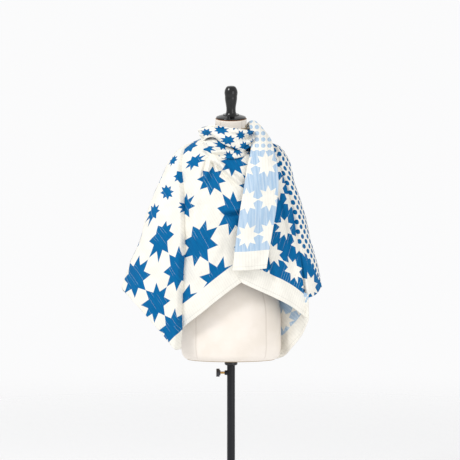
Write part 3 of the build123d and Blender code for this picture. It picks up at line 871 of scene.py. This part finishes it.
def wrap_zone(seen_x, seen_z, around):
    """Above 0 where there are stars, below 0 where there are dots."""
    seen_zone = (smooth(seen_z, *np.array(STRIP_DOTS_FROM, float).T) - seen_x) / ZONE_BLEND
    behind = np.where(around > BACK_DOTS_FROM, -1, 1)
    return np.where(around > SEEN_AGAIN_FROM, seen_zone, behind)


def wrap():
    """The outer wrap. Its turn is 0 at the left side, a quarter at the back, a half at the right."""
    s = np.linspace(0, 1, WRAP_ACROSS)[None, :]
    t = np.linspace(0, 1, WRAP_DOWN)[:, None]
    seen_x, y, seen_z, out, turn = wrap_shape(s, t)
    eye_z = CAMERA_HEIGHT / MM
    nearer = 1 - np.clip(-y, 0, None) / (CAMERA_AWAY / MM)
    z = eye_z + (seen_z - eye_z) * nearer
    lift = wrap_lift(s, t, turn, z)
    places = np.dstack([seen_x * nearer + out[..., 0] * lift, y + out[..., 1] * lift, z])
    steps = np.linalg.norm(np.diff(places, axis=1), axis=-1)
    arc = np.pad(np.cumsum(steps, axis=1), ((0, 0), (1, 0)))
    motif, grain = wrap_pattern(seen_x, seen_z, turn, arc, z)
    around = np.degrees(turn)
    zone = wrap_zone(seen_x, seen_z, around)
    dots = slanting_dots(arc - arc[:, -1:], z)
    corner_line = 738 + 1.06 * (seen_x + 169)
    hem = np.where(turn < 0, (seen_z - corner_line) / 1.457 + 62, NO_HEM)
    look = np.where(around > WHITE_STARS_FROM, WHITE_STARS, BLUE_STARS)
    return Panel(places, motif, BIG_REPEAT, hem, look, dots, zone, turned=True, grain=grain)


# ---- turned-back corner at the right ----------------------------------------------------

CORNER = [
    [(263, 860, -118), (238, 872, -92), (206, 885, -55), (168, 900, -10), (140, 905, 20)],
    [(264, 815, -116), (238, 800, -88), (206, 790, -48), (168, 785, 2), (140, 790, 28)],
    [(264, 774, -114), (240, 720, -82), (206, 678, -38), (180, 650, 6), (150, 640, 30)],
]


# its lower edge as (x, height), and how much shorter the way to it is across its slant
CORNER_HEM = [(140, 636), (180, 650), (206, 678), (240, 720), (264, 774)]
CORNER_HEM_SLANT = 0.85


def corner():
    """The lower right corner, hanging with its reverse to the front."""
    drawn = net(CORNER, 60, 80)
    drawn[..., 2] += 3 * np.sin(drawn[..., 0] / 9) * ease(-drawn[..., 1], -850, -700)
    places = at_depth(drawn)
    x, z = drawn[..., 0], drawn[..., 1]
    hem = (z - smooth(x, *np.array(CORNER_HEM, float).T)) * CORNER_HEM_SLANT
    motif = np.dstack([(x + z) * 0.7 / 74, (z - x) * 0.7 / 104, np.ones_like(x)])
    return Panel(places, motif, REVERSE_REPEAT, hem, REVERSE, turned=True)


# ---- hanging end -----------------------------------------------------------------------

TAIL = [
    [(50, 1425, 42), (60, 1433, 40), (72, 1436, 36), (84, 1428, 34)],
    [(58, 1444, 6), (68, 1450, 2), (82, 1449, 0), (94, 1438, 0)],
    [(63, 1430, -34), (80, 1428, -42), (98, 1424, -40), (113, 1418, -30)],
    [(70, 1390, -82), (92, 1390, -92), (116, 1388, -84), (137, 1383, -62)],
    [(66, 1345, -116), (92, 1345, -126), (120, 1345, -120), (147, 1343, -98)],
    [(54, 1290, -142), (88, 1290, -150), (124, 1290, -148), (158, 1290, -132)],
    [(45, 1230, -154), (84, 1228, -163), (122, 1228, -158), (161, 1230, -146)],
    [(33, 1160, -160), (74, 1158, -164), (114, 1158, -168), (155, 1160, -154)],
    [(23, 1090, -162), (62, 1088, -170), (102, 1088, -164), (144, 1090, -160)],
    [(13, 1012, -166), (52, 1012, -170), (92, 1013, -172), (131, 1016, -160)],
    [(4, 940, -166), (43, 941, -174), (82, 944, -168), (121, 948, -166)],
]
TAIL_STARS = [
    (119, 1303, 1, -1, 1.05), (128, 1187, 1, 0, 1.05), (55, 1178, 0, 0, 1.05), (55, 1060, 0, 1, 1.05),
    (131, 1069, 1, 1, 1.05), (46, 1294, 0, -1, 1.0),
]


TAIL_HEM = [(4, 940), (43, 941), (82, 944), (121, 948)]
TAIL_DOT_PITCH = 21
TAIL_DOTS_FROM = 1347


def tail():
    """The end that comes over the right shoulder and hangs down in front, reverse side out."""
    x, z, y = np.moveaxis(net(TAIL, 80, 260), -1, 0)
    low = ease(-z, -1400, -1200)
    grain = (x - 90 - (z - 1200) * 0.12) / 16
    y = y + low * 2.2 * np.sin(grain) + 1.5 * soft(x - 300, z) + 0.4 * fine(x, z)
    places = at_depth(np.dstack([x, z, y]))
    hem = z - smooth(x, *np.array(TAIL_HEM, float).T)
    dots = np.dstack([(x - 4) / TAIL_DOT_PITCH, z / TAIL_DOT_PITCH])
    zone = (TAIL_DOTS_FROM - z) / ZONE_BLEND
    return Panel(places, lattice(x, z, TAIL_STARS), REVERSE_REPEAT, hem, REVERSE, dots, zone)


# ---- wound round the neck ---------------------------------------------------------------

NECK_X = -9.0
NECK_Y = -8.0
NECK_CORE = 58


def band(edges, reach_out, tuck, tuck_from, seed, folds):
    """A turn of cloth round the neck, between a lower and an upper edge given against the turn."""
    lower, upper = edges
    across, down = 300, 64
    turn = np.linspace(-math.pi, math.pi, across)[None, :]
    v = np.linspace(0, 1, down)[:, None]
    degrees = np.degrees(turn)
    low = smooth(degrees, *np.array(lower, float).T)
    high = smooth(degrees, *np.array(upper, float).T)
    out = smooth(degrees, *np.array(reach_out, float).T)
    swell = ease(v, -0.6, 0.12) * (1 - tuck * ease(v, tuck_from, 1.0))
    radius = NECK_CORE + (out - NECK_CORE) * swell
    rise = np.sin(np.clip(v / 0.82, 0, 1) * math.pi / 2)
    z = low + (high - low) * rise - 13 * ease(v, 0.84, 1.0)
    body = np.sin(math.pi * np.clip(v / 0.9, 0, 1)) ** 0.7
    waves = 5 * np.sin(v * 9 + turn * 2.6 + seed) + 3 * np.sin(v * 17 - turn * 3.3 + seed * 2)
    radius = radius + body * waves + creases(degrees + 0 * v, z, folds)
    x = NECK_X + radius * np.sin(turn)
    y = NECK_Y - radius * np.cos(turn)
    z = z + 1.5 * np.sin(turn * 5 + v * 6)
    return x, y, z


# edges and reach are given as (degrees round, millimetres)
UPPER_LOW = [
    (-180, 1392), (-120, 1386), (-88, 1370), (-60, 1376), (-34, 1388), (-24, 1386), (-10, 1366), (4, 1352),
    (18, 1343), (34, 1362), (56, 1384), (80, 1396), (120, 1394), (180, 1392),
]
UPPER_HIGH = [
    (-180, 1442), (-120, 1434), (-90, 1424), (-60, 1423), (-30, 1425), (0, 1418), (30, 1410), (60, 1410),
    (85, 1420), (120, 1436), (180, 1442),
]
UPPER_OUT = [(-180, 84), (-90, 94), (-40, 106), (0, 120), (18, 125), (50, 106), (90, 91), (180, 84)]
# a fold runs between two places given as degrees round and height, with a width and a depth
UPPER_FOLDS = [
    ((-40, 1412), (14, 1362), 7, 9), ((66, 1404), (26, 1364), 6, 11), ((-88, 1400), (-50, 1396), 7, 8),
    ((0, 1406), (44, 1398), 6, 6),
]
LOWER_LOW = [
    (-180, 1374), (-120, 1368), (-84, 1350), (-62, 1336), (-44, 1324), (-15, 1318), (10, 1314), (30, 1324),
    (44, 1338), (80, 1362), (120, 1370), (180, 1374),
]
LOWER_HIGH = [
    (-180, 1412), (-80, 1396), (-40, 1396), (-20, 1382), (0, 1368), (18, 1360), (45, 1386), (90, 1405),
    (180, 1412),
]
LOWER_OUT = [
    (-180, 84), (-90, 92), (-60, 100), (-30, 108), (0, 118), (20, 120), (40, 108), (90, 90), (180, 84),
]
LOWER_FOLDS = [
    ((-70, 1350), (16, 1334), 7, 12), ((-52, 1340), (-4, 1346), 5, -8), ((52, 1376), (12, 1340), 6, 12),
    ((60, 1366), (28, 1338), 5, -9),
]
UPPER_STARS = [
    (-83, 1410, -1, 0, 0.95), (-35, 1418, 0, 0, 1.0), (-8, 1383, 0, 1, 1.0), (34, 1403, 1, 1, 0.95),
    (-74, 1391, -1, 0.7, 0.8), (70, 1393, 2, 1.5, 0.8),
]
LOWER_STARS = [
    (-89, 1358, -1, 0, 1.0), (-29, 1366, 0, 0, 1.0), (-5, 1328, 0, 1, 1.0), (-46, 1321, -1, 1, 0.9),
    (18, 1352, 1, 1, 0.9), (56, 1358, 2, 1, 0.9),
]


def neck_wrap(edges, reach_out, tuck, tuck_from, seed, stars, folds):
    """One turn round the neck with small stars, even ones where it goes round the back."""
    x, y, z = band(edges, reach_out, tuck, tuck_from, seed, folds)
    places = np.dstack([x, y, z])
    nearer = 1 + np.clip(y, None, 0) / (CAMERA_AWAY / MM)
    seen_x = x / nearer
    seen_z = CAMERA_HEIGHT / MM + (z - CAMERA_HEIGHT / MM) / nearer
    turn = np.arctan2(x - NECK_X, -(y - NECK_Y))
    behind = np.dstack([turn * 2.2, (z - 1400) / 42, np.ones_like(z)])
    back = ease(y, -10, 30)[..., None]
    motif = lattice(seen_x, seen_z, stars) * (1 - back) + behind * back
    return Panel(places, motif, SMALL_REPEAT, np.full_like(x, NO_HEM), BLUE_STARS, turned=True)


# ---- cloth materials ----------------------------------------------------------------------

BLUE = colour(0, 105, 161)
DEEP_BLUE = colour(0, 94, 150)
WHITE = colour(242, 239, 230)
CREASED_WHITE = colour(235, 232, 223)
PALE_BLUE = colour(160, 188, 214)
PALER_BLUE = colour(190, 208, 225)
THREAD = colour(128, 124, 116)
BORDER = 0.064
STITCH = 0.013


def centred(n, value):
    """How far a number is from the nearest whole one."""
    return n.math("SUBTRACT", value, n.math("ROUND", value))


def span(n, x, y):
    """The length of (x, y)."""
    return n.math("SQRT", n.math("ADD", n.math("MULTIPLY", x, x), n.math("MULTIPLY", y, y)))


def star_mask(n, i, j, size, tip, notch, apart):
    """1 inside an eight-pointed star at every whole number pair, with columns apart times further off."""
    x = n.math("DIVIDE", centred(n, i), size)
    y = n.math("DIVIDE", n.math("MULTIPLY", centred(n, j), apart), size)
    half_sector = math.pi / 8
    folded = n.math("PINGPONG", n.math("ARCTAN2", y, x), half_sector)
    far = span(n, x, y)
    px = n.math("MULTIPLY", far, n.math("COSINE", folded))
    py = n.math("MULTIPLY", far, n.math("SINE", folded))
    side_x = notch * math.sin(half_sector)
    side_y = tip - notch * math.cos(half_sector)
    long = math.hypot(side_x, side_y)
    off = n.math("MULTIPLY", n.math("SUBTRACT", px, tip), side_x / long)
    off = n.math("MULTIPLY_ADD", py, side_y / long, off)
    return n.fade(off, -0.004, 0.004, 1.0, 0.0)


def dot_mask(n, i, j):
    """1 inside a round dot at every whole number pair."""
    return n.fade(span(n, centred(n, i), centred(n, j)), 0.335, 0.365, 1.0, 0.0)


def slubs(n, flat, u):
    """Sparse pale threads along the cloth."""
    place = n.math("FRACT", n.math("MULTIPLY", u, 1 / 0.0105))
    thread = n.fade(n.math("ABSOLUTE", n.math("SUBTRACT", place, 0.5)), 0.0, 0.055, 1.0, 0.0)
    chance = n.fade(n.noise(n.stretch(flat, (1.0, 0.10, 0)), 58, 1), 0.53, 0.59)
    return n.math("MULTIPLY", thread, chance)


def quilt_cloth(name, star, ground, dot, tip, notch, apart):
    """Woven cotton: motif, plain border with a stitched line, ribs, slubs and a fine weave."""
    n = Nodes(name)
    _, i, j, size = n.attribute("motif")
    _, dot_i, dot_j, zone = n.attribute("dots")
    flat, u, v, hem = n.attribute("cloth")
    streaks = n.noise(n.stretch(flat, (1.0, 0.045, 0)), 190, 3)
    blot = n.noise(flat, 16, 3)
    ribs = n.math("SINE", n.math("MULTIPLY", u, 2 * math.pi / 0.0098))
    white = n.mix(n.fade(blot, 0.35, 0.65), CREASED_WHITE, WHITE)
    white = n.mix(n.fade(ribs, 0.88, 1.0, 0.0, 0.15), white, THREAD)
    streaky = n.fade(streaks, 0.35, 0.68)
    inks = {
        "white": white,
        "blue": n.mix(streaky, DEEP_BLUE, BLUE),
        "pale": n.mix(streaky, PALE_BLUE, PALER_BLUE),
    }
    starred = n.mix(star_mask(n, i, j, size, tip, notch, apart), inks[ground], inks[star])
    dotted = n.mix(dot_mask(n, dot_i, dot_j), white, inks[dot])
    tint = n.mix(n.fade(zone, -0.02, 0.02), dotted, starred)
    tint = n.mix(n.math("MULTIPLY", slubs(n, flat, u), 0.5), tint, WHITE)
    tint = n.mix(n.fade(hem, BORDER - 0.0006, BORDER + 0.0006, 1.0, 0.0), tint, white)
    from_stitch = n.math("ABSOLUTE", n.math("SUBTRACT", hem, STITCH))
    stitch = n.fade(from_stitch, 0.0004, 0.0016, 1.0, 0.0)
    tint = n.mix(n.math("MULTIPLY", stitch, 0.13), tint, THREAD)
    warp = n.math("SINE", n.math("MULTIPLY", u, 2 * math.pi / 0.0011))
    weft = n.math("SINE", n.math("MULTIPLY", v, 2 * math.pi / 0.0011))
    height = n.math("MULTIPLY_ADD", ribs, 0.8, n.math("MULTIPLY", n.math("MULTIPLY", warp, weft), 0.5))
    height = n.math("MULTIPLY_ADD", stitch, -3.0, height)
    height = n.math("MULTIPLY_ADD", streaks, 1.5, height)
    rumple = n.bump(n.noise(flat, 26, 4, 0.5), 0.010, 0.22)
    made = n.finish(tint, n.fade(blot, 0.3, 0.7, 0.80, 0.90), n.bump(height, 0.00045, 0.5, rumple))
    n.shader.inputs["Specular IOR Level"].default_value = 0.15
    return made


FACE = quilt_cloth("cotton_blue_on_white", "blue", "white", "blue", 0.505, 0.285, 1.0)
DARK_FACE = quilt_cloth("cotton_white_on_blue", "white", "blue", "blue", 0.54, 0.30, 1.3)
BACK_FACE = quilt_cloth("cotton_reverse", "white", "pale", "pale", 0.50, 0.285, 1.35)
# the inner side of each look comes three places after its outer side
CLOTHS = [FACE, DARK_FACE, BACK_FACE, BACK_FACE, BACK_FACE, DARK_FACE]
INNER_OFFSET = 3
CLOTH_THICKNESS = 0.0024


def build_quilt():
    """All the panels in one mesh, with their pattern, and its area."""
    panels = [
        left_front(),
        right_front(),
        wrap(),
        corner(),
        tail(),
        neck_wrap((LOWER_LOW, LOWER_HIGH), LOWER_OUT, 0.9, 0.1, 2.0, LOWER_STARS, LOWER_FOLDS),
        neck_wrap((UPPER_LOW, UPPER_HIGH), UPPER_OUT, 0.72, 0.62, 0.4, UPPER_STARS, UPPER_FOLDS),
    ]
    places, faces, looks, motifs, dots, cloths = [], [], [], [], [], []
    start = 0
    for panel in panels:
        down, across = panel.shape
        places.append(panel.places.reshape(-1, 3) * MM)
        faces += grid_faces(across, down, start=start, turned=panel.turned)
        looks.append(panel.look[:-1, :-1].ravel())
        motifs.append(panel.motif.reshape(-1, 3))
        dots.append(np.dstack([panel.dots, panel.zone]).reshape(-1, 3))
        cloths.append(panel.cloth().reshape(-1, 3))
        start += down * across
    piece = make_object("quilt", np.concatenate(places), faces)
    for name, values in (("motif", motifs), ("dots", dots), ("cloth", cloths)):
        layer = piece.data.attributes.new(name, "FLOAT_VECTOR", "POINT")
        layer.data.foreach_set("vector", np.concatenate(values).astype(np.float32).ravel())
    for material in CLOTHS:
        piece.data.materials.append(material)
    piece.data.polygons.foreach_set("material_index", np.concatenate(looks).astype(np.int32))
    shell = piece.modifiers.new("thickness", "SOLIDIFY")
    shell.thickness = CLOTH_THICKNESS
    shell.offset = 0
    shell.material_offset = INNER_OFFSET
    area = sum(polygon.area for polygon in piece.data.polygons)
    return piece, area


quilt, quilt_area = build_quilt()
print("quilt area", round(quilt_area, 3))
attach(quilt, "form")
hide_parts("quilt_cape", "quilt_cowl", "quilt_tail")
